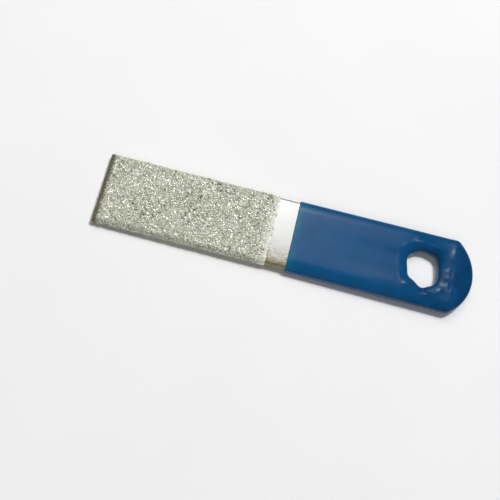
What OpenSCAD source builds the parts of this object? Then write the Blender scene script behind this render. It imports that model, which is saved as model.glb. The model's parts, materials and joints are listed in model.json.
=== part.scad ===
// Flat hand dresser for grinding wheels: a steel bar, plated with diamond grit on one
// half of its upper face and dipped in vinyl over the other half. Millimetres, +Z up.
// It lies as it comes to rest on a flat surface, on the tip of the bar and on the grip,
// with its length along X, its grip at +X and its origin at the middle of its base.

/* [Bar] */
// Length of the steel bar
bar_l = 123; // [110:0.5:150]
// Width of the steel bar
bar_w = 25.4; // [23:0.1:40]
// Thickness of the steel bar
bar_t = 3.175; // [2.6:0.025:6]
// Radius on the long edges and the end edges of the bar
edge_r = 1.2; // [0.3:0.05:1.25]
// Radius of the bar's corners, seen from above
corner_r = 0.8; // [0.3:0.1:3]

/* [Diamond coat] */
// Length of the coat, from the tip of the bar
coat_l = 59.2; // [20:0.1:70]
// Thickness of the nickel and diamond coat
coat_t = 0.203; // [0.1:0.001:0.5]
// Height of the steel left bare below the coat, along the sides and the tip
coat_foot = 1.2; // [0.4:0.1:2]

/* [Grip] */
// Length of bare steel between the coat and the lip of the grip
bare_l = 7.1; // [2:0.1:15]
// Thickness of the vinyl at the lip
lip_skin = 0.62; // [0.4:0.02:1.2]
// Thickness of the vinyl at the end of the bar
end_skin = 0.92; // [0.4:0.02:1.6]
// Width that the vinyl adds to the rounding of the bar's edges
edge_soft = 1.4; // [1:0.1:2.5]
// Length of the vinyl drip past the end of the bar
drip_l = 6.34; // [3:0.02:10]
// Thickness of the drip, just inside its rolled rim
drip_t = 3.2; // [2:0.1:5]
// Length by which the arc of the drip starts before the end of the bar, at the sides
drip_lap = 0.5; // [0:0.05:0.8]
// Radius of the corners beside the drip, seen from above
drip_corner_r = 3; // [2:0.1:6]
// Height of the ridge that the end of the bar leaves in the vinyl
ridge_h = 0.2; // [0:0.05:0.6]
// Half width of that ridge
ridge_w = 1.8; // [1:0.1:3]

/* [Hanging hole] */
// Distance from the end of the bar to the axis of the hole
hole_inset = 11.2; // [10:0.1:30]
// Clear diameter through the vinyl
bore_d = 11.5; // [6:0.1:13]
// Thickness of the vinyl lining between the bore and the hole in the steel
lining_t = 2.2; // [1.6:0.1:3]
// Width of the rounding that leads into the hole on both faces
funnel_w = 3.3; // [2.5:0.1:5]
// Height by which the lining stands proud of the bore before the bore clears it
rim_bulge = 0.45; // [0.35:0.05:1]
// Depth of the puckers around the rim
pucker = 0.22; // [0:0.02:0.25]

/* [Hidden] */
$fn = 96;

// Places along the bar, from its tip
grip_x = coat_l + bare_l;
hole_x = bar_l - hole_inset;
end_x = bar_l + drip_l;

// Half widths of the grip at its lip and at the end of the bar
lip_y = bar_w / 2 + lip_skin;
end_y = bar_w / 2 + end_skin;

// Width over which the long edges and the rim of the drip roll over
edge_roll = edge_r + edge_soft;

// Radius and centre of the drip's arc, and the centre and last angle of its lower corner
drip_bow = drip_l + drip_lap;
drip_r = (pow(end_y, 2) + pow(drip_bow, 2)) / (2 * drip_bow);
arc_x = end_x - drip_r;
corner_y = drip_corner_r - end_y;
corner_x = arc_x + sqrt(pow(drip_r - drip_corner_r, 2) - pow(corner_y, 2));
corner_a = atan2(corner_y, corner_x - arc_x);

// Rest: on the edge of the tip, and on the lip of the grip or its ridge, whichever is lower
dip = end_skin + ridge_h;
rest_tilt = max(atan(lip_skin / (grip_x - edge_r)), atan(dip / (bar_l - edge_r)));

// Facets of the vinyl skin: step along its outline, and steps across funnel, face and rim
skin_step = 1.7;
funnel_n = 5;
face_n = 8;
rim_n = 5;
tool_gap = 1;

// Places the pieces, modelled with the bar level and its tip at the origin, as they rest
module at_rest() {
    translate([edge_r - (end_x - coat_t) / 2, 0, 0])
        rotate([0, -rest_tilt, 0])
            translate([-edge_r, 0, 0])
                children();
}

// Rectangle from the origin corner, with all four corners rounded
module round_rect(w, h, r) {
    translate([r, 0])
        square([w - 2 * r, h]);
    translate([0, r])
        square([w, h - 2 * r]);
    for (x = [r, w - r], y = [r, h - r])
        translate([x, y])
            circle(r);
}

// The bar with all its edges rounded, grown by skin on every side
module bar_form(skin) {
    l = bar_l + 2 * skin;
    w = bar_w + 2 * skin;
    t = bar_t + 2 * skin;
    r = edge_r + skin;
    translate([-skin, -w / 2, -skin])
        intersection() {
            linear_extrude(t)
                round_rect(l, w, corner_r + skin);
            rotate([90, 0, 90])
                linear_extrude(l)
                    round_rect(w, t, r);
            translate([0, w, 0])
                rotate([90, 0, 0])
                    linear_extrude(w)
                        round_rect(l, t, r);
        }
}

// The bar as it is inside the grip, with its hole
module bar_solid() {
    difference() {
        bar_form(0);
        translate([hole_x, 0, -tool_gap])
            cylinder(d = bore_d + 2 * lining_t, h = bar_t + 2 * tool_gap);
    }
}

// Quarter-round profile: 0 at the edge, 1 from one width inwards
function roll(t) = t <= 0 ? 0 : t >= 1 ? 1 : sqrt(1 - pow(1 - t, 2));

// Vinyl thickness over the bar, and half width of the grip, at x
function skin_at(x) =
    lip_skin + (end_skin - lip_skin) * min(1, (x - grip_x) / (bar_l - grip_x));
function side_y(x) = bar_w / 2 + skin_at(x);

// Height of the ridge at x
function ridge(x) =
    abs(x - bar_l) >= ridge_w ? 0 : ridge_h * pow(cos(90 * (x - bar_l) / ridge_w), 2);

// Half thickness of the grip at x, away from its rolled edges
function crown(x) =
    let (bar_end_t = bar_t / 2 + end_skin)
    ridge(x) + (x <= bar_l
        ? bar_t / 2 + skin_at(x)
        : bar_end_t + (drip_t / 2 - bar_end_t) * (x - bar_l) / drip_l);

// Distance of a point from the outline, which closes in a half circle before the lip
function rim_gap(x, y) =
    let (v = [x - corner_x, -abs(y) - corner_y], a = atan2(v.y, v.x))
    x < grip_x ? lip_y - norm([x - grip_x, y])
    : a > -90 && a < corner_a ? drip_corner_r - norm(v)
    : min(side_y(x) - abs(y), x > arc_x ? drip_r - norm([x - arc_x, y]) : end_x);

// Radius of the lining before the bore clears it, in the direction a around the hole
function waist(a) =
    bore_d / 2 - rim_bulge + pucker * (0.6 * sin(3 * a + 20) + 0.4 * sin(5 * a + 75));

// Half thickness of the grip at the radius r in the direction a from the hole's axis
function half_t(r, a) =
    let (x = hole_x + r * cos(a), y = r * sin(a))
    crown(x) * roll(rim_gap(x, y) / edge_roll) * roll((r - waist(a)) / funnel_w);

// A point of the outline, with the width of its rolled edge as seen from the hole
function edge_point(x, y, facing) =
    let (v = [x - hole_x, y])
    [x, y, edge_roll * norm(v) / (v * [cos(facing), sin(facing)])];

// Points along an arc of the outline, without its last one, and along its straight side
function steps(length) = max(3, ceil(length / skin_step));
function arc_points(centre, r, from, to) =
    let (n = steps(r * (to - from) * PI / 180))
    [for (k = [0 : n - 1])
        let (a = from + (to - from) * k / n)
        edge_point(centre.x + r * cos(a), centre.y + r * sin(a), a)];
function side_points() =
    let (n = steps(corner_x - grip_x))
    [for (k = [0 : n - 1])
        let (t = k / n)
        edge_point(grip_x + (corner_x - grip_x) * t, -lip_y - (end_y - lip_y) * t, -90)];

// The whole outline, anticlockwise from the half circle before the lip
function outline() =
    let (low = concat(
        arc_points([grip_x, 0], lip_y, -180, -90),
        side_points(),
        arc_points([corner_x, corner_y], drip_corner_r, -90, corner_a),
        arc_points([arc_x, 0], drip_r, corner_a, 0),
        [edge_point(end_x, 0, 0)]))
    concat(low, [for (k = [len(low) - 2 : -1 : 1]) [low[k].x, -low[k].y, low[k].z]]);

// Radii across a flat face, closer at its outer edge or on both sides of the ridge
function face_radii(from, to, crest) =
    let (half_n = face_n / 2)
    crest > from && crest < to
        ? concat(
            [for (k = [0 : half_n - 1]) crest - (crest - from) * pow(1 - k / half_n, 2)],
            [for (k = [0 : half_n - 1]) crest + (to - crest) * pow(k / half_n, 2)])
        : [for (k = [0 : face_n - 1]) to - (to - from) * pow(1 - k / face_n, 2)];

// Radii in the direction a, from the lining to the outline, closer where the edges roll
function radii(from, to, rim, a) =
    let (
        span = to - from,
        funnel = min(funnel_w, 0.4 * span),
        edge = min(rim, 0.4 * span),
        crest = cos(a) > 0 ? (bar_l - hole_x) / cos(a) : 0)
    concat(
        [for (k = [0 : funnel_n - 1]) from + funnel * (1 - cos(90 * k / funnel_n))],
        face_radii(from + funnel, to - edge, crest),
        [for (k = [0 : rim_n]) to - edge * (1 - sin(90 * k / rim_n))]);

// Ring of points in one direction: out over the upper face and back under the lower one
function ring(p) =
    let (
        a = atan2(p.y, p.x - hole_x),
        rs = radii(waist(a), norm([p.x - hole_x, p.y]), p.z, a),
        last = len(rs) - 1,
        upper = [for (k = [0 : last])
            [rs[k], k == 0 || k == last ? 0 : half_t(rs[k], a)]],
        loop = concat(upper, [for (k = [last - 1 : -1 : 1]) [rs[k], -upper[k].y]]))
    [for (q = loop) [hole_x + q.x * cos(a), q.x * sin(a), bar_t / 2 + q.y]];

// The vinyl skin as if it were solid and ran on past its lip: rings joined around the hole
module skin_form() {
    rings = [for (p = outline()) ring(p)];
    n = len(rings);
    m = len(rings[0]);
    faces = [
        for (i = [0 : n - 1], j = [0 : m - 1])
            let (
                a = i * m + j,
                b = i * m + (j + 1) % m,
                c = ((i + 1) % n) * m + (j + 1) % m,
                d = ((i + 1) % n) * m + j)
            each [[a, b, c], [a, c, d]]];
    polyhedron(points = [for (r = rings) each r], faces = faces);
}

// Steel bar with its hole
module steel_bar() {
    color("silver")
        at_rest()
            bar_solid();
}

// Diamond coat over the upper face, the sides and the tip of the bar
module diamond_coat() {
    reach = bar_w + 2 * tool_gap;
    color("darkgray")
        at_rest()
            difference() {
                intersection() {
                    bar_form(coat_t);
                    translate([-tool_gap, -reach / 2, coat_foot])
                        cube([coat_l + tool_gap, reach, bar_t]);
                }
                bar_form(0);
            }
}

// Dipped vinyl grip, cut off at its lip, with the space that the bar fills and its bore
module grip() {
    reach = 2 * (lip_y + tool_gap);
    color("#12487c")
        at_rest()
            difference() {
                skin_form();
                translate([grip_x - reach, -reach / 2, -reach / 2])
                    cube(reach);
                bar_solid();
                translate([hole_x, 0, -dip - tool_gap])
                    cylinder(d = bore_d, h = bar_t + 2 * (dip + tool_gap));
            }
}

steel_bar();
diamond_coat();
grip();
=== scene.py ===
"""Looks of a flat hand dresser for grinding wheels.

The steel bar and the nickel bond of the diamond coat are the frame's own solids with a
finish. The diamond grains and the dipped vinyl grip are meshes made here. They are worked
out in the bar's own frame, in millimetres, with the tip of the steel at the origin and its
underside at z = 0, and then laid as the tool rests.
"""
import json
import math

import bpy
import numpy as np
from mathutils import Matrix, Vector, noise


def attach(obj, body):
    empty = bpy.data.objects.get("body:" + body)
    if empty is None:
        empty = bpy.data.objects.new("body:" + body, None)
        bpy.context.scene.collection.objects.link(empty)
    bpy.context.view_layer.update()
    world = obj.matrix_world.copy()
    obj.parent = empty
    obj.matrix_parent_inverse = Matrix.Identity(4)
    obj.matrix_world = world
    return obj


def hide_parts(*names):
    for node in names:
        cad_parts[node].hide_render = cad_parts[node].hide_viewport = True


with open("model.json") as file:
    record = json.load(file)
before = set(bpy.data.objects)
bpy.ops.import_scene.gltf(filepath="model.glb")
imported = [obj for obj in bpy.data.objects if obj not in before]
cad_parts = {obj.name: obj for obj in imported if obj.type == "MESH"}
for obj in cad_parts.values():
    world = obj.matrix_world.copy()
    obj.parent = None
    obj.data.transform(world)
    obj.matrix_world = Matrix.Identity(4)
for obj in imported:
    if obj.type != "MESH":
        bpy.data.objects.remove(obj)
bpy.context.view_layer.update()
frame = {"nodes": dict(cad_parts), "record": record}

MM = 0.001
QUARTER = math.pi / 2

# Sizes in millimetres, as in the solids
BAR_L = 123.0
BAR_W = 25.4
BAR_T = 3.175
EDGE_R = 1.2
COAT_L = 59.2
COAT_T = 0.203
COAT_FOOT = 1.2
BARE_L = 7.1
LIP_SKIN = 0.62
END_SKIN = 0.92
DRIP_L = 6.34
DRIP_LAP = 0.5
DRIP_CORNER_R = 3.0
HOLE_INSET = 11.2

# Places that follow from them
MID_Z = BAR_T / 2
COAT_TOP = BAR_T + COAT_T
COAT_R = EDGE_R + COAT_T
COAT_HALF_W = BAR_W / 2 + COAT_T
GRIP_X = COAT_L + BARE_L
HOLE_X = BAR_L - HOLE_INSET
END_X = BAR_L + DRIP_L
END_Y = BAR_W / 2 + END_SKIN
DRIP_BOW = DRIP_L + DRIP_LAP
DRIP_R = (END_Y ** 2 + DRIP_BOW ** 2) / (2 * DRIP_BOW)
ARC_X = END_X - DRIP_R
CORNER_Y = DRIP_CORNER_R - END_Y
CORNER_X = ARC_X + math.sqrt((DRIP_R - DRIP_CORNER_R) ** 2 - CORNER_Y ** 2)
CORNER_A = math.atan2(CORNER_Y, CORNER_X - ARC_X)


def rest_matrix():
    """From the bar's own frame, in millimetres, to the row's frame, in metres."""
    hole = next(m for m in frame["record"]["mounts"] if m["name"] == "hang_hole")
    up = Vector(hole["axis"]).normalized()
    across = Vector((0, 1, 0))
    along = across.cross(up)
    turn = Matrix((along, across, up)).transposed()
    shift = Vector(hole["pos_m"]) - turn @ Vector((HOLE_X, 0, MID_Z)) * MM
    return Matrix.Translation(shift) @ turn.to_4x4() @ Matrix.Scale(MM, 4)


REST = rest_matrix()


# Mesh helpers

def new_object(name, verts, faces, smooth=True):
    """A mesh object from points in the bar's frame."""
    mesh = bpy.data.meshes.new(name)
    mesh.from_pydata([tuple(v) for v in verts], [], [tuple(f) for f in faces])
    mesh.transform(REST)
    mesh.validate()
    mesh.polygons.foreach_set("use_smooth", [smooth] * len(mesh.polygons))
    obj = bpy.data.objects.new(name, mesh)
    bpy.context.scene.collection.objects.link(obj)
    return obj


def apply_modifiers(obj):
    """Replaces the object's mesh by the result of its modifiers."""
    graph = bpy.context.evaluated_depsgraph_get()
    mesh = bpy.data.meshes.new_from_object(obj.evaluated_get(graph), depsgraph=graph)
    obj.modifiers.clear()
    obj.data = mesh


# Curves and noise

def roll(t, power=2.0):
    """Rounded profile: 0 at the edge, 1 from one width inwards, fuller for a higher power."""
    return (1 - (1 - np.clip(t, 0, 1)) ** power) ** (1 / power)


def ease(t):
    """Smooth step from 0 to 1."""
    t = np.clip(t, 0, 1)
    return t * t * (3 - 2 * t)


def rise(low, t):
    """Smooth step from low to 1."""
    return low + (1 - low) * ease(t)


def hump(t):
    """Bell curve of height 1."""
    return np.exp(-np.square(t))


def wave(kind, x, y=0.0, seed=0.0):
    """Smooth noise at points in millimetres. Its kind is a height, a length and a seed."""
    height, length, own_seed = kind
    points = zip(np.ravel(x) / length, np.ravel(y + 0 * x) / length)
    values = [noise.noise(Vector((a, b, own_seed + seed))) for a, b in points]
    return height * np.reshape(values, np.shape(x))


def spaced(start, stop, n):
    """n even steps from start, without stop."""
    return start + (stop - start) * np.arange(n) / n


# Vinyl grip: its rounded edges, thin drip and sunk middle, all softer than in the solids

EDGE_ROLL = 4.6
ROLL_POWER = 2.4
DRIP_ROLL = 2.4
DRIP_ROLL_X = BAR_L - 4.0
DRIP_ROLL_RUN = 5.0
DRIP_T = 2.0
DRIP_START = 0.2
DRIP_FALL = 0.72
LIP_R = 0.28
SINK_D = 0.38
SINK_X = HOLE_X - 8.8
SINK_RUN = 16.0
TROUGH_D = 0.16
TROUGH_X = GRIP_X + 3.7
TROUGH_Y = -1.3
TROUGH_HALF_W = 5.5

# Ridge that the end of the bar leaves in the vinyl
RIDGE_H = 0.3
RIDGE_BASE = 0.8
RIDGE_INSET = 0.35
RIDGE_FLANK = 2.4
RIDGE_STEP = 0.45
RIDGE_HALF_L = 11.5
RIDGE_FADE = 5.0

# Hole: its lining, the funnel that leads in, and the bead and puckers around the funnel
WAIST = 6.1
# Lumps of the lining: direction in degrees, height inwards, spread in degrees
WAIST_LUMPS = (
    (10, 0.80, 30), (192, 0.90, 28), (243, 0.55, 17), (276, -0.75, 15),
    (310, -0.45, 18), (52, -0.45, 18), (100, -0.20, 20), (146, -0.30, 16),
)
FUNNEL_W = 3.6
FUNNEL_ALONG = -0.6
FUNNEL_ACROSS = 0.2
BEAD_H = 0.13
BEAD_W = 0.9
BEAD_OUT = 3.3
BEAD_BASE = 0.7
BEAD_LEAN = 0.4
PUCKER_OUT = 2.6
PUCKER_W = 2.0
# Small lumps near the hole: place from its middle, height and radii
LUMPS = (
    (-4.8, -7.8, 0.32, 1.5, 1.4), (3.0, -9.7, 0.32, 1.6, 0.9), (6.8, -6.9, 0.10, 1.2, 1.0),
    (9.0, -4.3, 0.10, 0.6, 1.8), (9.0, 0.9, 0.07, 0.5, 1.6), (9.8, 8.0, 0.13, 0.7, 1.6),
    (7.8, -1.2, 0.05, 0.5, 2.2), (-10.8, -7.6, 0.08, 4.5, 1.3), (-1.4, 8.3, 0.48, 2.3, 1.2),
    (2.8, 8.2, 0.26, 1.8, 0.8),
)

# Waves: height, length and seed
RIDGE_SWAY = (0.25, 6.0, 3.0)
RIDGE_SWELL = (0.6, 3.4, 9.5)
BEAD_SWELL = (0.6, 2.6, 0.0)
PUCKER = (0.07, 1.7, 5.0)
SKIN_DRIFT = (0.02, 11.0, 2.0)
LIP_SWAY = (0.12, 7.0, 21.0)
LIP_SWAY_L = 2.0

# Faces of the grip: direction, relief of the ridge, relief of the lumps, and seed
UPPER = (1, 1.0, 1.0, 0.5)
LOWER = (-1, 0.75, 0.35, 40.5)

# Mesh of the grip: the hole end starts at SPLIT_X, and the counts are of points or rows
SPLIT_X = HOLE_X - 14.0
SKIN_STEP = 0.55
FUNNEL_N = 18
FACE_N = 26
RIM_N = 14
CROSS_N = 45
CORNER_N = 8
SLEEVE_N = 45
LIP_N = 6
MIN_EDGE = 1.5
SPAN_SHARE = 0.45
WELD_GAP = 0.002


def skin_at(x):
    """Thickness of the vinyl over the bar."""
    return LIP_SKIN + (END_SKIN - LIP_SKIN) * np.clip((x - GRIP_X) / (BAR_L - GRIP_X), 0, 1)


def side_y(x):
    """Half width of the grip."""
    return BAR_W / 2 + skin_at(x)


def edge_roll(x):
    """Width of the rounding along the outline, less at the drip."""
    return EDGE_ROLL + (DRIP_ROLL - EDGE_ROLL) * ease((x - DRIP_ROLL_X) / DRIP_ROLL_RUN)


def ridge(x, y):
    """Ridge over the end of the bar, steeper towards the drip."""
    crest = BAR_L - RIDGE_INSET + wave(RIDGE_SWAY, y)
    width = np.where(x < crest, RIDGE_FLANK, RIDGE_STEP)
    height = RIDGE_H * (RIDGE_BASE + wave(RIDGE_SWELL, y))
    return height * hump((x - crest) / width) * roll((RIDGE_HALF_L - np.abs(y)) / RIDGE_FADE)


def crown(x):
    """Half thickness of the grip away from its rolled edges."""
    over_bar = MID_Z + skin_at(x) - SINK_D * ease((x - SINK_X) / SINK_RUN)
    fall = np.clip((x - BAR_L + DRIP_START) / (DRIP_L + DRIP_START), 0, 1)
    return over_bar + (DRIP_T / 2 - over_bar) * fall ** DRIP_FALL


def trough(x, y):
    """Shallow sink along the middle of the grip, deeper towards the hole."""
    along = ease((x - TROUGH_X) / (SINK_X - TROUGH_X))
    return -TROUGH_D * along * np.exp(-((y - TROUGH_Y) / TROUGH_HALF_W) ** 4)


def rim_gap(x, y):
    """Distance from the outline of the grip."""
    vx = x - CORNER_X
    vy = -np.abs(y) - CORNER_Y
    angle = np.arctan2(vy, vx)
    in_corner = (angle > -QUARTER) & (angle < CORNER_A)
    to_corner = DRIP_CORNER_R - np.hypot(vx, vy)
    to_arc = np.where(x > ARC_X, DRIP_R - np.hypot(x - ARC_X, y), END_X)
    to_side = side_y(x) - np.abs(y)
    return np.where(in_corner, to_corner, np.minimum(to_side, to_arc))


def waist(a):
    """Radius of the lining in the direction a, in radians, around the hole."""
    r = np.full(np.shape(a), WAIST)
    for at, height, spread in WAIST_LUMPS:
        off = (np.degrees(a) - at + 180) % 360 - 180
        r = r - height * hump(off / spread)
    return r


def funnel(a):
    """Width of the rounding that leads into the hole, in the direction a."""
    return FUNNEL_W + FUNNEL_ALONG * np.cos(a) + FUNNEL_ACROSS * np.sin(a)


def half_thickness(x, y, face):
    """Half thickness at points on one face of the grip, with its lumps and waves."""
    _, ridge_relief, lump_relief, seed = face
    dx = x - HOLE_X
    a = np.arctan2(y, dx)
    past = np.hypot(dx, y) - waist(a)
    bead = BEAD_H * hump((past - BEAD_OUT) / BEAD_W)
    bead = bead * (BEAD_BASE + wave(BEAD_SWELL, dx, y, seed))
    bead = bead * (1 - BEAD_LEAN + BEAD_LEAN * np.cos(a))
    pucker = wave(PUCKER, dx, y, seed) * hump((past - PUCKER_OUT) / PUCKER_W)
    drift = wave(SKIN_DRIFT, x, y, seed)
    h = crown(x) + ridge_relief * ridge(x, y) + trough(x, y) + bead + pucker + drift
    for at_x, at_y, height, across_x, across_y in LUMPS:
        lump = height * hump((dx - at_x) / across_x) * hump((y - at_y) / across_y)
        h = h + lump_relief * lump
    at_rim = roll(rim_gap(x, y) / edge_roll(x), ROLL_POWER)
    at_hole = roll(past / funnel(a), ROLL_POWER)
    return h * at_rim * at_hole


def grip_outline():
    """Closed outline of the hole end: first its straight left side, from +y to -y."""
    side = float(side_y(SPLIT_X))
    bend = spaced(0, QUARTER, RIM_N)
    rolled = side - EDGE_ROLL * (1 - np.cos(bend))
    flat = side - EDGE_ROLL
    cross = np.concatenate([rolled, np.linspace(flat, -flat, CROSS_N), -rolled[::-1]])
    left = [(SPLIT_X, y) for y in cross]
    lower = []
    for x in spaced(SPLIT_X, CORNER_X, round((CORNER_X - SPLIT_X) / SKIN_STEP))[1:]:
        lower.append((x, -float(side_y(x))))
    for a in spaced(-QUARTER, CORNER_A, CORNER_N):
        x = CORNER_X + DRIP_CORNER_R * math.cos(a)
        y = CORNER_Y + DRIP_CORNER_R * math.sin(a)
        lower.append((x, y))
    for a in spaced(CORNER_A, 0, round(-CORNER_A * DRIP_R / SKIN_STEP)):
        lower.append((ARC_X + DRIP_R * math.cos(a), DRIP_R * math.sin(a)))
    upper = [(x, -y) for x, y in reversed(lower)]
    return np.array(left + lower + [(END_X, 0.0)] + upper), len(left)


def hole_end_grid(outline):
    """Points of the hole end in plan, one row for each outline point, from the lining out."""
    x = outline[:, 0]
    y = outline[:, 1]
    a = np.arctan2(y, x - HOLE_X)
    far = np.hypot(x - HOLE_X, y)
    near = waist(a)
    off = np.maximum(np.abs(y), 1)
    slant = np.where(np.abs(y) > 1, far / off, 1)
    on_left = np.maximum(far * (1 - (END_Y - EDGE_ROLL) / off), MIN_EDGE)
    edge = np.where(x <= SPLIT_X, on_left, EDGE_ROLL * slant)
    edge = np.where(x > CORNER_X, edge_roll(x), edge)
    widest = SPAN_SHARE * (far - near)
    edge = np.minimum(edge, widest)[:, None]
    reach = np.minimum(funnel(a), widest)[:, None]
    near = near[:, None]
    far = far[:, None]
    first = near + reach
    last = far - edge
    down = spaced(0, QUARTER, FUNNEL_N)[None, :]
    face = spaced(0, 1, FACE_N)[None, :]
    over = np.linspace(0, QUARTER, RIM_N + 1)[None, :]
    r = np.concatenate([
        near + reach * (1 - np.cos(down)),
        first + (last - first) * face,
        far - edge * (1 - np.sin(over)),
    ], axis=1)
    return HOLE_X + r * np.cos(a)[:, None], r * np.sin(a)[:, None]


def sleeve_rows(outline, n_left):
    """Plan points of the sleeve, from the hole end to its lip, and how far each is drawn in."""
    cross = outline[:n_left, 1] / side_y(SPLIT_X)
    turn = np.linspace(0, QUARTER, LIP_N + 1)[1:]
    straight = np.linspace(SPLIT_X, GRIP_X + LIP_R, SLEEVE_N + 1)[1:]
    xs = np.concatenate([straight, GRIP_X + LIP_R * (1 - np.sin(turn))])
    drawn_in = np.concatenate([np.zeros(SLEEVE_N), LIP_R * (1 - np.cos(turn))])
    return xs[:, None], cross[None, :], drawn_in[:, None]


def grip_face(face, plan, sleeve):
    """Points of one face of the grip: the grid of the hole end and the rows of the sleeve."""
    sign = face[0]
    gx, gy = plan
    gh = half_thickness(gx, gy, face)
    gh[:, 0] = 0
    xs, cross, drawn_in = sleeve
    half = side_y(xs)
    sy = cross * (half - drawn_in)
    sh = half_thickness(xs + 0 * cross, cross * half, face)
    sh = sh * (1 - drawn_in / crown(xs))
    sx = xs + wave(LIP_SWAY, sy) * (xs < GRIP_X + LIP_SWAY_L)
    end = np.stack([gx, gy, MID_Z + sign * gh], axis=-1)
    tube = np.stack([sx, sy, MID_Z + sign * sh], axis=-1)
    return end, tube


def skin_quads(base, end, tube, n_left):
    """Faces of one skin whose points start at base, and the points along its lip."""
    n, m = end.shape[:2]
    quads = []
    for i in range(n):
        here = base + i * m
        there = base + (i + 1) % n * m
        quads += [(here + j, here + j + 1, there + j + 1, there + j) for j in range(m - 1)]
    rows = [[base + i * m + m - 1 for i in range(n_left)]]
    for r in range(len(tube)):
        start = base + n * m + r * n_left
        rows.append(list(range(start, start + n_left)))
    for low, high in zip(rows, rows[1:]):
        quads += [(low[k], high[k], high[k + 1], low[k + 1]) for k in range(n_left - 1)]
    return quads, rows[-1]


def vinyl_grip(bar):
    """The dipped grip: two skins joined at the lining, the rim and the lip, over the bar."""
    outline, n_left = grip_outline()
    plan = hole_end_grid(outline)
    sleeve = sleeve_rows(outline, n_left)
    verts = []
    faces = []
    lips = []
    for face in (UPPER, LOWER):
        end, tube = grip_face(face, plan, sleeve)
        end[n_left:, -1, 2] = MID_Z
        quads, lip = skin_quads(len(verts), end, tube, n_left)
        verts.extend(end.reshape(-1, 3))
        verts.extend(tube.reshape(-1, 3))
        faces += quads if face is UPPER else [q[::-1] for q in quads]
        lips.append(lip)
    top, under = lips
    faces += [(top[k + 1], top[k], under[k], under[k + 1]) for k in range(n_left - 1)]
    obj = new_object("vinyl_grip", verts, faces)
    weld = obj.modifiers.new("weld", "WELD")
    weld.merge_threshold = WELD_GAP * MM
    apply_modifiers(obj)
    cut = obj.modifiers.new("bar_space", "BOOLEAN")
    cut.operation = "DIFFERENCE"
    cut.solver = "EXACT"
    cut.object = bar
    apply_modifiers(obj)
    return obj


# Diamond grains: a staggered grid over the coat's face, sides and tip

GRAIN_SEED = 7
GRAIN_STEP = 0.56
GRAIN_ROW = 0.866
GRAIN_JITTER = 0.11
GRAIN_MARGIN = 0.05
GRAIN_OVERHANG = 0.1
GRAIN_SHARE = 0.95
GRAIN_R = 0.33
GRAIN_SPREAD = 0.24
GRAIN_TILT = 0.15
GRAIN_LIFT = 0.02

# Shape of a grain of radius 1: ranges of its girdle and its flat table, and its lower point
GRAIN_SIDES = 5
SIDE_SKEW = 0.3
GIRDLE_R = (0.75, 1.15)
GIRDLE_Z = (-0.35, 0.05)
TABLE_R = (0.45, 0.85)
TABLE_Z = (0.5, 0.7)
POINT_Z = -0.9

# Grains past the coat's end, at its crowded corners and on its thin last stretch
STRAY_GRAINS = 60
STRAY_REACH = 0.2
STRAY_LIFT = 0.1
CORNER_LEAN = 0.8
CORNER_DROP = 0.75
END_THIN = 0.5
END_RUN = 3.0

# Wear of the edges, painted shade on the tip and sides, and one stain
WORN_SIZE = 0.62
WORN_W = 1.4
TIP_SHADE = 0.05
TIP_X = 0.5
TIP_RUN = 2.4
SIDE_SHADE = 0.85
SIDE_W = 0.4
STAIN_X = COAT_L - 2.2
STAIN_Y = -8.5
STAIN_R = 1.6
STAIN_DEPTH = 0.5
CLUMP_BASE = 0.5
CLUMP_WAVE = (0.9, 1.3, 60.5)
CLUMP_SHARE = 0.25


def coat_path(lengths, start):
    """Plan place, height and lean along an edge path: up the foot, round the edge, across."""
    up = COAT_TOP - COAT_R - COAT_FOOT
    bend = COAT_R * QUARTER
    a = np.clip((lengths - up) / COAT_R, 0, QUARTER)
    place = start + COAT_R * (1 - np.cos(a)) + np.maximum(lengths - up - bend, 0)
    height = COAT_FOOT + np.minimum(lengths, up) + COAT_R * np.sin(a)
    return place, height, QUARTER - a


def grain_grid(rng, long_l, wide_l):
    """Lengths along and across the unrolled coat, in staggered rows, each a little off."""
    rows = int(long_l / (GRAIN_STEP * GRAIN_ROW))
    cols = int(wide_l / GRAIN_STEP)
    i, j = np.meshgrid(np.arange(rows), np.arange(cols), indexing="ij")
    v = (i + 0.5) * long_l / rows
    u = (j + 0.25 + 0.5 * (i % 2)) * wide_l / cols
    v = (v + rng.normal(0, GRAIN_JITTER, v.shape)).ravel()
    u = (u + rng.normal(0, GRAIN_JITTER, u.shape)).ravel()
    v = np.clip(v, GRAIN_MARGIN, long_l + GRAIN_OVERHANG)
    u = np.clip(u, GRAIN_MARGIN, wide_l - GRAIN_MARGIN)
    return v, u


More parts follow.
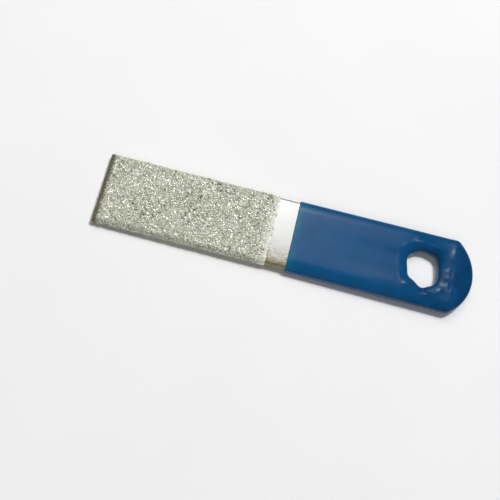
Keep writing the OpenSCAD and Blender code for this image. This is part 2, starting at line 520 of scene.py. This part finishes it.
def grain_places(rng):
    """Places and outward directions of the grains."""
    edge_l = COAT_TOP - COAT_R - COAT_FOOT + COAT_R * QUARTER
    long_l = edge_l + COAT_L - COAT_R + COAT_T
    wide_l = 2 * (edge_l + COAT_HALF_W - COAT_R)
    v, u = grain_grid(rng, long_l, wide_l)
    far = u > wide_l / 2
    side = np.where(far, -1, 1)
    x, z_x, lean_x = coat_path(v, -COAT_T)
    y, z_y, lean_y = coat_path(np.where(far, wide_l - u, u), -COAT_HALF_W)
    by_tip = z_x < z_y
    lean = np.where(by_tip, lean_x, lean_y)
    place = np.stack([x, y * side, np.minimum(z_x, z_y)], axis=-1)
    out_x = np.where(by_tip, -np.sin(lean), 0)
    out_y = np.where(by_tip, 0, -side * np.sin(lean))
    out = np.stack([out_x, out_y, np.cos(lean)], axis=-1)
    stray = rng.integers(0, len(v), STRAY_GRAINS)
    flat_half_w = COAT_HALF_W - COAT_R
    place[stray] = np.stack([
        COAT_L + np.abs(rng.normal(0, STRAY_REACH, STRAY_GRAINS)),
        rng.uniform(-flat_half_w, flat_half_w, STRAY_GRAINS),
        np.full(STRAY_GRAINS, BAR_T + STRAY_LIFT),
    ], axis=-1)
    out[stray] = (0, 0, 1)
    at_corner = (lean_x > CORNER_LEAN) & (lean_y > CORNER_LEAN)
    crowded = at_corner & (rng.random(len(v)) < CORNER_DROP)
    share = GRAIN_SHARE - END_THIN * ease((place[:, 0] - COAT_L + END_RUN) / END_RUN)
    keep = ~crowded & (rng.random(len(v)) < share)
    return place[keep], out[keep]


def ring_points(rng, ring, radii, heights):
    """Points of a ring at random radii and heights within the two ranges."""
    shape = (*ring.shape[:2], 1)
    radius = rng.uniform(*radii, shape)
    height = rng.uniform(*heights, shape)
    return np.concatenate([ring * radius, height], axis=2)


def grain_shapes(rng, n):
    """Points of n blunt crystals of radius 1: the table, the girdle and the point below."""
    skew = rng.uniform(-SIDE_SKEW, SIDE_SKEW, (n, GRAIN_SIDES))
    angle = 2 * math.pi * (np.arange(GRAIN_SIDES) + skew) / GRAIN_SIDES
    ring = np.stack([np.cos(angle), np.sin(angle)], axis=-1)
    girdle = ring_points(rng, ring, GIRDLE_R, GIRDLE_Z)
    table = ring_points(rng, ring, TABLE_R, TABLE_Z)
    point = np.zeros((n, 1, 3))
    point[:, 0, 2] = POINT_Z
    return np.concatenate([table, girdle, point], axis=1)


def grain_faces(n):
    """Faces of n grains: one table each, a belt of quads and a fan below."""
    k = GRAIN_SIDES
    table = [tuple(range(k))]
    belt = [(c, c + k, (c + 1) % k + k, (c + 1) % k) for c in range(k)]
    fan = [(c + k, 2 * k, (c + 1) % k + k) for c in range(k)]
    first = range(0, n * (2 * k + 1), 2 * k + 1)
    return [tuple(start + c for c in f) for start in first for f in table + belt + fan]


def random_turns(rng, out):
    """Rotation matrices that stand each grain along out, with a random lean and spin."""
    lean = out + rng.normal(0, GRAIN_TILT, out.shape)
    z = lean / np.linalg.norm(lean, axis=1, keepdims=True)
    spin = rng.normal(0, 1, out.shape)
    x = np.cross(spin, z)
    x /= np.linalg.norm(x, axis=1, keepdims=True)
    return np.stack([x, np.cross(z, x), z], axis=-1)


def grain_tints(rng, place, from_side):
    """Tint of each grain from 0 to 1: random, in soft clumps, darker at one stain, with painted
    shade at the tip and edges.
    """
    x = place[:, 0]
    y = place[:, 1]
    clump = CLUMP_BASE + wave(CLUMP_WAVE, x, y)
    # Painted shade: grains darker towards the tip and on the last strip along the edges.
    painted_shade = rise(TIP_SHADE, (x - TIP_X) / TIP_RUN) * rise(SIDE_SHADE, from_side / SIDE_W)
    stain = 1 - STAIN_DEPTH * hump(np.hypot(x - STAIN_X, y - STAIN_Y) / STAIN_R)
    tint = (1 - CLUMP_SHARE) * rng.random(len(place)) + CLUMP_SHARE * clump
    return np.clip(tint, 0, 1) * painted_shade * stain


def diamond_grains():
    """All the grains as one mesh: blunt crystals with a random size, shape and tint each."""
    rng = np.random.default_rng(GRAIN_SEED)
    place, out = grain_places(rng)
    n = len(place)
    from_side = np.minimum(place[:, 0], COAT_HALF_W - np.abs(place[:, 1]))
    worn = rise(WORN_SIZE, np.minimum(from_side, COAT_L - place[:, 0]) / WORN_W)
    shape = grain_shapes(rng, n)
    size = GRAIN_R * rng.lognormal(0, GRAIN_SPREAD, (n, 1, 1)) * worn[:, None, None]
    turned = np.einsum("nab,nkb->nka", random_turns(rng, out), shape * size)
    verts = turned + (place + GRAIN_LIFT * out)[:, None, :]
    obj = new_object("diamond_grains", verts.reshape(-1, 3), grain_faces(n), smooth=False)
    tint = obj.data.attributes.new("tint", "FLOAT", "POINT")
    tint.data.foreach_set("value", np.repeat(grain_tints(rng, place, from_side), verts.shape[1]))
    return obj


# Materials

class Nodes:
    """Short calls for building one material's node tree."""

    def __init__(self, name):
        self.material = bpy.data.materials.new(name)
        self.material.use_nodes = True
        self.tree = self.material.node_tree
        self.shader = self.tree.nodes["Principled BSDF"]

    def add(self, kind, **values):
        """A node with some of its properties or inputs set."""
        node = self.tree.nodes.new(kind)
        for key, value in values.items():
            if hasattr(node, key):
                setattr(node, key, value)
            else:
                node.inputs[key.replace("_", " ")].default_value = value
        return node

    def link(self, source, target):
        self.tree.links.new(source, target)

    def place(self, scale=(1, 1, 1)):
        """The row's own coordinates in millimetres, stretched by scale."""
        where = self.add("ShaderNodeTexCoord")
        grow = self.add("ShaderNodeMapping", Scale=[s / MM for s in scale])
        self.link(where.outputs["Object"], grow.inputs["Vector"])
        return grow.outputs["Vector"]

    def along(self, axis):
        """One coordinate in the bar's frame, in millimetres."""
        inverse = REST.inverted()
        where = self.add("ShaderNodeTexCoord")
        back = self.add(
            "ShaderNodeMapping", Location=inverse.translation,
            Rotation=inverse.to_euler(), Scale=inverse.to_scale())
        split = self.add("ShaderNodeSeparateXYZ")
        self.link(where.outputs["Object"], back.inputs["Vector"])
        self.link(back.outputs["Vector"], split.inputs["Vector"])
        return split.outputs[axis]

    def combine(self, operation, first, second):
        """The sum or another combination of two values."""
        node = self.add("ShaderNodeMath", operation=operation)
        self.link(first, node.inputs[0])
        self.link(second, node.inputs[1])
        return node.outputs["Value"]

    def noise(self, vector, scale=1.0, detail=2.0, roughness=0.5):
        node = self.add("ShaderNodeTexNoise", Scale=scale, Detail=detail, Roughness=roughness)
        self.link(vector, node.inputs["Vector"])
        return node.outputs["Fac"]

    def ramp(self, value, stops):
        """Colours between stops, each a position and a colour."""
        node = self.add("ShaderNodeValToRGB")
        elements = node.color_ramp.elements
        for element, (at, colour) in zip(elements, (stops[0], stops[-1])):
            element.position = at
            element.color = (*colour, 1)
        for at, colour in stops[1:-1]:
            elements.new(at).color = (*colour, 1)
        self.link(value, node.inputs["Fac"])
        return node.outputs["Color"]

    def levels(self, value, old, new):
        """The value moved from the old range to the new one, and kept within it."""
        node = self.add(
            "ShaderNodeMapRange", From_Min=old[0], From_Max=old[1], To_Min=new[0], To_Max=new[1])
        self.link(value, node.inputs["Value"])
        return node.outputs["Result"]

    def bump(self, height, depth, strength):
        """Normals of a relief, with its depth in millimetres."""
        node = self.add("ShaderNodeBump", Strength=strength, Distance=depth * MM)
        self.link(height, node.inputs["Height"])
        return node.outputs["Normal"]

    def set(self, **values):
        """Fixed values of the shader's own sockets."""
        for key, value in values.items():
            self.shader.inputs[key.replace("_", " ")].default_value = value

    def feed(self, **sources):
        """Outputs of other nodes for the shader's sockets."""
        for key, source in sources.items():
            self.link(source, self.shader.inputs[key.replace("_", " ")])


X_AXIS = 0
Y_AXIS = 1
# Darkest brown of the bond and the grains, used mostly for the painted shade at the tip.
SHADE_BROWN = (0.16, 0.11, 0.05)


def steel_material():
    """Bright ground steel with fine marks along its length, and painted shade that makes it
    darker and browner towards its near edge, where its reflection fades.
    """
    m = Nodes("ground_steel")
    # Painted shade: from y = -3 towards the near edge the steel turns darker and browner,
    # standing in for its reflection fading there; the streaks are its own marks.
    shaded_near_edge = (-13.0, -3.0)
    stops = (
        (0.05, (0.27, 0.22, 0.13)),
        (0.28, (0.47, 0.44, 0.33)),
        (0.55, (0.66, 0.65, 0.61)),
        (0.9, (0.72, 0.715, 0.70)),
    )
    fine = m.noise(m.place((0.12, 6.0, 6.0)), detail=4.0, roughness=0.65)
    streak = m.noise(m.place((0.45, 2.2, 2.2)), detail=4.0, roughness=0.65)
    across = m.levels(m.along(Y_AXIS), shaded_near_edge, (0.0, 1.0))
    shade_and_marks = m.combine("ADD", across, m.levels(streak, (0.3, 0.7), (-0.36, 0.36)))
    m.feed(
        Base_Color=m.ramp(shade_and_marks, stops),
        Metallic=m.levels(shade_and_marks, (0.1, 0.5), (0.4, 0.8)),
        Roughness=m.levels(shade_and_marks, (0.1, 0.7), (0.42, 0.12)),
        Normal=m.bump(fine, depth=0.01, strength=0.3))
    return m.material


def bond_material():
    """Nickel bond between the grains: grey with pits, bright at its end, with painted shade in
    brown at the tip.
    """
    m = Nodes("nickel_bond")
    shaded_tip = (-0.2, 1.6)
    bright_end = (COAT_L - 3.5, COAT_L - 0.5)
    stops = (
        (0.0, SHADE_BROWN),
        (0.3, (0.22, 0.23, 0.17)),
        (0.7, (0.60, 0.62, 0.51)),
        (1.0, (0.86, 0.87, 0.80)),
    )
    lumps = m.noise(m.place(), scale=2.2, detail=3.0, roughness=0.6)
    # Painted shade: the bond turns darker and browner towards the tip, where less light falls.
    painted_shade = m.levels(m.along(X_AXIS), shaded_tip, (0.5, 0.0))
    bared = m.levels(m.along(X_AXIS), bright_end, (0.0, 0.5))
    shade = m.combine("ADD", m.combine("SUBTRACT", lumps, painted_shade), bared)
    m.set(Metallic=0.2)
    m.feed(
        Base_Color=m.ramp(shade, stops),
        Roughness=m.levels(lumps, (0.3, 0.7), (0.5, 0.34)),
        Normal=m.bump(lumps, depth=0.12, strength=0.8))
    return m.material


def grain_material():
    """Diamond grains in nickel: each with its own tint, from olive grey to almost white."""
    m = Nodes("diamond_grit")
    # The darkest stops carry the painted shade at the tip and edges as well as the darkest
    # grains.
    stops = (
        (0.0, SHADE_BROWN),
        (0.1, (0.27, 0.27, 0.19)),
        (0.25, (0.67, 0.67, 0.51)),
        (0.44, (0.97, 0.98, 0.81)),
        (0.7, (0.98, 0.99, 0.91)),
    )
    tint = m.add("ShaderNodeAttribute", attribute_name="tint").outputs["Fac"]
    m.set(Metallic=0.24, IOR=2.4)
    m.feed(
        Base_Color=m.ramp(tint, stops),
        Roughness=m.levels(tint, (0.0, 1.0), (0.28, 0.17)))
    return m.material


def vinyl_material():
    """Dipped vinyl: satin to glossy blue with a faint orange peel, and painted shade that makes
    it darker towards the hole end and over the drip.
    """
    m = Nodes("blue_vinyl")
    pale_lip = (GRIP_X + 0.5, GRIP_X + 4.0)
    hole_end = (HOLE_X - 18.0, HOLE_X + 6.0)
    drip = (BAR_L + 0.2, BAR_L + 2.2)
    stops = (
        (0.0, (0.001, 0.045, 0.133)),
        (0.3, (0.002, 0.067, 0.188)),
        (0.7, (0.003, 0.081, 0.222)),
        (1.0, (0.004, 0.125, 0.232)),
    )
    drift = m.noise(m.place(), scale=0.16, detail=3.0, roughness=0.55)
    peel = m.noise(m.place(), scale=1.6)
    # Painted shade: the vinyl is darker towards the hole end and over the drip, where less light
    # falls.
    to_end = m.levels(m.along(X_AXIS), hole_end, (0.0, 0.38))
    past_bar = m.levels(m.along(X_AXIS), drip, (0.0, 0.12))
    by_lip = m.levels(m.along(X_AXIS), pale_lip, (0.45, 0.0))
    end_shade = m.combine("ADD", to_end, past_bar)
    shade = m.combine("ADD", m.combine("SUBTRACT", drift, end_shade), by_lip)
    m.set(IOR=1.42)
    m.feed(
        Base_Color=m.ramp(shade, stops),
        Roughness=m.levels(drift, (0.3, 0.7), (0.18, 0.24)),
        Normal=m.bump(peel, depth=0.008, strength=0.5))
    return m.material


def floor_material():
    """Plain pale floor."""
    m = Nodes("pale_floor")
    stops = ((0.3, (0.96, 0.96, 0.96)), (0.7, (0.98, 0.98, 0.98)))
    m.set(Roughness=0.9)
    m.feed(Base_Color=m.ramp(m.noise(m.place((0.02, 0.02, 0.02))), stops))
    return m.material


# Pieces

def finish_with(obj, material):
    obj.data.materials.clear()
    obj.data.materials.append(material)


bar = frame["nodes"]["steel_bar"]
bond = frame["nodes"]["diamond_coat"]
grip = vinyl_grip(bar)
grains = diamond_grains()

finish_with(bar, steel_material())
finish_with(bond, bond_material())
finish_with(grip, vinyl_material())
finish_with(grains, grain_material())

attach(grip, "root")
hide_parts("grip")
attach(grains, "root")


# Stage, light and camera

# Side of the floor in metres
FLOOR_SIZE = 30.0
# Camera in the bar's frame: its place, the point it looks at, its turn in degrees and its lens
CAMERA_AT = (50.17, -147.78, 325.49)
CAMERA_AIM = (53.52, -8.13, 0.0)
CAMERA_TURN = 16.96
CAMERA_LENS = 75.6
CAMERA_SENSOR = 36.0
# Nearest and farthest distance that the camera sees, in metres
CAMERA_NEAR = 0.01
CAMERA_FAR = 50.0
# Lamps in the bar's frame: name, place, point lit, width and depth in metres, power in watts,
# and whether they are seen in reflections
LAMPS = (
    ("back_softbox", (-62, 525, 600), (-62, 525, 0), 0.56, 0.55, 1.1, True),
    ("back_spot", (30, 490, 760), (110, 0, 0), 0.14, 0.12, 0.55, True),
    ("top_diffuser", (800, 850, 2500), (60, 0, 0), 0.6, 0.6, 50.0, False),
    ("front_fill", (60, -1600, 1700), (60, 0, 0), 1.0, 1.0, 6.5, False),
)
WORLD_LIGHT = 0.1


def look(at, aim, turn=0.0):
    """Matrix of a camera or lamp at a place, looking at another, turned about its view."""
    start = REST @ Vector(at)
    view = (REST @ Vector(aim) - start).to_track_quat("-Z", "Y").to_matrix().to_4x4()
    return Matrix.Translation(start) @ view @ Matrix.Rotation(math.radians(turn), 4, "Z")


def add_floor():
    s = FLOOR_SIZE / 2
    corners = [(-s, -s, 0), (s, -s, 0), (s, s, 0), (-s, s, 0)]
    mesh = bpy.data.meshes.new("floor")
    mesh.from_pydata(corners, [], [(0, 1, 2, 3)])
    mesh.materials.append(floor_material())
    floor = bpy.data.objects.new("floor", mesh)
    bpy.context.scene.collection.objects.link(floor)


def add_lamps():
    for name, at, aim, width, depth, power, mirrored in LAMPS:
        lamp = bpy.data.lights.new(name, "AREA")
        lamp.shape = "RECTANGLE"
        lamp.size = width
        lamp.size_y = depth
        lamp.energy = power
        obj = bpy.data.objects.new(name, lamp)
        obj.visible_glossy = mirrored
        obj.matrix_world = look(at, aim)
        bpy.context.scene.collection.objects.link(obj)


def add_world():
    """Even light all round."""
    world = bpy.data.worlds.new("studio")
    bpy.context.scene.world = world
    world.use_nodes = True
    back = world.node_tree.nodes["Background"]
    back.inputs["Color"].default_value = (1, 1, 1, 1)
    back.inputs["Strength"].default_value = WORLD_LIGHT


def add_camera():
    data = bpy.data.cameras.new("camera")
    data.lens = CAMERA_LENS
    data.sensor_width = CAMERA_SENSOR
    data.clip_start = CAMERA_NEAR
    data.clip_end = CAMERA_FAR
    camera = bpy.data.objects.new("camera", data)
    camera.matrix_world = look(CAMERA_AT, CAMERA_AIM, CAMERA_TURN)
    bpy.context.scene.collection.objects.link(camera)
    bpy.context.scene.camera = camera


add_floor()
add_lamps()
add_world()
add_camera()
bpy.context.scene.view_settings.view_transform = "Standard"
